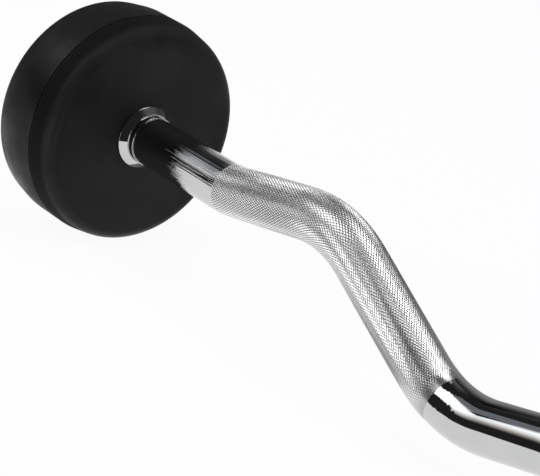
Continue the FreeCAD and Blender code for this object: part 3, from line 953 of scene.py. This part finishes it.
def hang_tent():
    """Hang the studio tent, a half sphere that only polished surfaces see.

    Its rings rise from the floor to the top, as wide as the cosine and as high as the sine of an angle
    that grows evenly. It glows faintly all over. Its back is pale low down, most at the left, with a soft
    field left of the middle and a dim one at the right, and a bright round field lies overhead.
    """
    finish, tree, glow = glow_finish("studio_tent")
    place = coordinates(tree, "Object")
    sides = parts(tree, place)

    def fade(axis, shares, low, high):
        """Return a step from low to high between two shares of the radius along an axis."""
        return faded(tree, sides[axis], *(TENT_RADIUS * np.array(shares)), low, high)

    pale = combined(tree, "MULTIPLY", fade("Z", PALE_HEIGHT_SHARES, PALE_GLOW, 0.0),
                    fade("Y", PALE_BACK_SHARES, 0.0, 1.0),
                    fade("X", PALE_SIDE_SHARES, 1.0, PALE_RIGHT_SHARE))
    soft = combined(tree, "MULTIPLY", fade("Y", SOFT_BACK_SHARES, 0.0, SOFT_GLOW),
                    fade("X", SOFT_LEFT_SHARES, 0.0, 1.0),
                    fade("X", SOFT_RIGHT_SHARES, 1.0, 0.0))
    dim = combined(tree, "MULTIPLY", fade("X", DIM_SIDE_SHARES, 0.0, DIM_GLOW),
                   fade("Y", DIM_BACK_SHARES, 0.0, 1.0))
    towards = add_node(tree, "ShaderNodeVectorMath", operation="DOT_PRODUCT")
    bring(tree, place, towards.inputs[0])
    bring(tree, Vector(OVERHEAD_AIM).normalized() / TENT_RADIUS, towards.inputs[1])
    overhead = faded(tree, towards.outputs["Value"], *np.cos(OVERHEAD_ANGLES), 0.0, OVERHEAD_GLOW)
    feed(tree, glow, Strength=combined(tree, "ADD", pale, overhead, dim, soft, TENT_GLOW))

    rise = np.linspace(0, np.pi / 2, TENT_ROWS)[:, None]
    turn = full_turn(TENT_COLUMNS)
    ring = TENT_RADIUS * np.cos(rise)
    points = np.stack(np.broadcast_arrays(ring * np.cos(turn), ring * np.sin(turn),
                                          TENT_RADIUS * np.sin(rise) + FLOOR_HEIGHT), axis=-1)
    tent = new_mesh("studio_tent", points.reshape(-1, 3), [grid_faces(TENT_ROWS, TENT_COLUMNS, False)])
    tent.data.materials.append(finish)
    only_in_reflections(tent)


# Upright cards: the two ends in plan of the line that a card stands on, and the heights of its lower and
# upper edges. A sloping edge has a height for each end. A soft side or height is where a glow starts to
# change and where it stops.
BLACK_GLOW = 0.02
FLAG_FRONT = -0.13
GRIP_FRONT = -0.06
BLACK_CARDS = {
    "bend_flag": (((-0.18, FLAG_FRONT), (0.18, FLAG_FRONT)), (FLOOR_HEIGHT, -0.008)),
    "collar_flag": (((-0.31, FLAG_FRONT), (-0.25, FLAG_FRONT)), (FLOOR_HEIGHT, 0.12)),
    "side_flag": (((-0.56, FLAG_FRONT), (-0.385, FLAG_FRONT)), (-0.012, 0.06)),
    "grip_flag": (((-0.34, GRIP_FRONT), (-0.25, GRIP_FRONT)), (0.02, 0.08)),
    "key_door": (((-0.953, -1.113), (-0.778, -1.381)), (0.0, 0.64)),
}
SHEEN_GLOW = 1.4
SHEEN_CARD = (((-0.515, -0.065), (-0.515, -0.135)), (0.09, 0.16))
CREST_GLOW = 2.6
CREST_CARD = (((-0.32, -0.018), (-0.32, 0.07)), (0.058, 0.082))
GRIP_GLOW = 3.0
GRIP_STRIP = (((-0.228, GRIP_FRONT), (-0.130, GRIP_FRONT)), ((0.013, -0.040), (0.035, -0.018)))
KEY_FACE = (((-1.531, -0.259), (-0.823, -1.350)), (0.0, 1.9))
KEY_GLOW = 1.9
KEY_SOFT_HEIGHTS = (0.08, 0.78)
KEY_SOFT_SIDE = (-0.61, -0.80)
KEY_SIDE_SHARE = 0.12
KEY_WARM = (1.0, 0.90, 0.80, 1)
KEY_COOL = (0.86, 0.93, 1.0, 1)
EDGE_BACK = 0.045
EDGE_CARD = (((-0.25, EDGE_BACK), (-0.04, EDGE_BACK)), (FLOOR_HEIGHT, (0.105, 0.03)))
EDGE_GLOW = 0.28
EDGE_SOFT_SIDE = (-0.20, -0.13)
EDGE_SOFT_HEIGHTS = (-0.02, 0.04)
EDGE_TOP_SHARE = 0.12

# The shade card lies just over the floor.
SHADE_GLOW = 0.35
SHADE_SPAN = (-0.27, -0.15)
SHADE_DEPTH = (-0.07, 0.03)
SHADE_LIFT = 0.002


def upright_card(name, line, heights, finish):
    """Stand a card on a line in plan, between two heights, that only polished surfaces see."""
    start, end = line
    low, high = [np.broadcast_to(edge, 2).tolist() for edge in heights]
    corners = [(*start, low[0]), (*end, low[1]), (*end, high[1]), (*start, high[0])]
    only_in_reflections(stage_sheet(name, corners, finish))


def evenly_glowing(name, level):
    """Return a finish that glows evenly at the given level."""
    finish, tree, glow = glow_finish(name)
    feed(tree, glow, Strength=level)
    return finish


def key_glow():
    """Return the key face's glow.

    It fades to nothing at the foot, where it is warm, and to little at the back side, where it is cool.
    """
    finish, tree, glow = glow_finish("key_face")
    sides = parts(tree, coordinates(tree, "Object"))
    rise = faded(tree, sides["Z"], *KEY_SOFT_HEIGHTS, 0.0, KEY_GLOW)
    side = faded(tree, sides["Y"], *KEY_SOFT_SIDE, KEY_SIDE_SHARE, 1.0)
    warm = tinted(tree, rise, KEY_WARM, grey(1.0))
    cool = tinted(tree, side, KEY_COOL, grey(1.0))
    feed(tree, glow, Strength=combined(tree, "MULTIPLY", rise, side),
         Color=blended(tree, 1.0, warm, cool, "MULTIPLY"))
    return finish


def edge_glow():
    """Return the edge card's glow, from black at its left to grey at its right, and darker upwards."""
    finish, tree, glow = glow_finish("edge_card")
    sides = parts(tree, coordinates(tree, "Object"))
    side = faded(tree, sides["X"], *EDGE_SOFT_SIDE, BLACK_GLOW, EDGE_GLOW)
    rise = faded(tree, sides["Z"], *EDGE_SOFT_HEIGHTS, 1.0, EDGE_TOP_SHARE)
    feed(tree, glow, Strength=combined(tree, "MULTIPLY", side, rise))
    return finish


def stand_cards():
    """Stand the cards that give the chrome its dark and bright bands.

    They are the black flags and the key light's door, the key light's soft-edged face, the bright sheen,
    crest and grip cards, the edge card behind the bar, and the shade card over the floor.
    """
    black = evenly_glowing("black_card", BLACK_GLOW)
    for name, card in BLACK_CARDS.items():
        upright_card(name, *card, black)
    upright_card("key_face", *KEY_FACE, key_glow())
    upright_card("sheen_card", *SHEEN_CARD, evenly_glowing("sheen_card", SHEEN_GLOW))
    upright_card("crest_card", *CREST_CARD, evenly_glowing("crest_card", CREST_GLOW))
    upright_card("grip_strip", *GRIP_STRIP, evenly_glowing("grip_strip", GRIP_GLOW))
    upright_card("edge_card", *EDGE_CARD, edge_glow())
    corners = level_corners(SHADE_SPAN, SHADE_DEPTH, FLOOR_HEIGHT + SHADE_LIFT)
    only_in_reflections(stage_sheet("shade_card", corners, evenly_glowing("shade_card", SHADE_GLOW)))


# Soft boxes: the place, the aim, the width and height, and the radiance. The surround has one level for
# diffuse light and one where it is seen.
SOFT_BOXES = {
    "key_box": ((-1.1, -0.93, 0.55), (-0.30, 0.0, 0.0), (0.8, 1.0), 3.2),
    "top_box": ((-0.1, 0.1, 1.7), (-0.1, 0.0, 0.0), (1.2, 1.2), 2.0),
}
SURROUND_GLOWS = (0.5, 1.0)


def soft_box(name, place, aim, size, radiance):
    """Hang a soft box of the given radiance, its power being pi times its area times the radiance.

    Polished surfaces see its card or the open tent in its place.
    """
    lamp = bpy.data.lights.new(name, "AREA")
    lamp.shape = "RECTANGLE"
    lamp.size, lamp.size_y = size
    lamp.energy = np.pi * lamp.size * lamp.size_y * radiance
    box = bpy.data.objects.new(name, lamp)
    bpy.context.scene.collection.objects.link(box)
    box.visible_glossy = False
    box.matrix_world = aimed(place, aim)


def light_studio():
    """Light the object: a key box at the left front, a top box, and a plain white surround."""
    for name, box in SOFT_BOXES.items():
        soft_box(name, *box)
    world = bpy.data.worlds.new("studio")
    bpy.context.scene.world = world
    world.use_nodes = True
    tree = world.node_tree
    feed(tree, tree.nodes["Background"], Color=grey(1.0),
         Strength=ranged(tree, seen_directly(tree), *SURROUND_GLOWS))
    bpy.context.scene.view_settings.view_transform = "Standard"


build_object()
place_camera()
lay_floor()
hang_tent()
stand_cards()
light_studio()
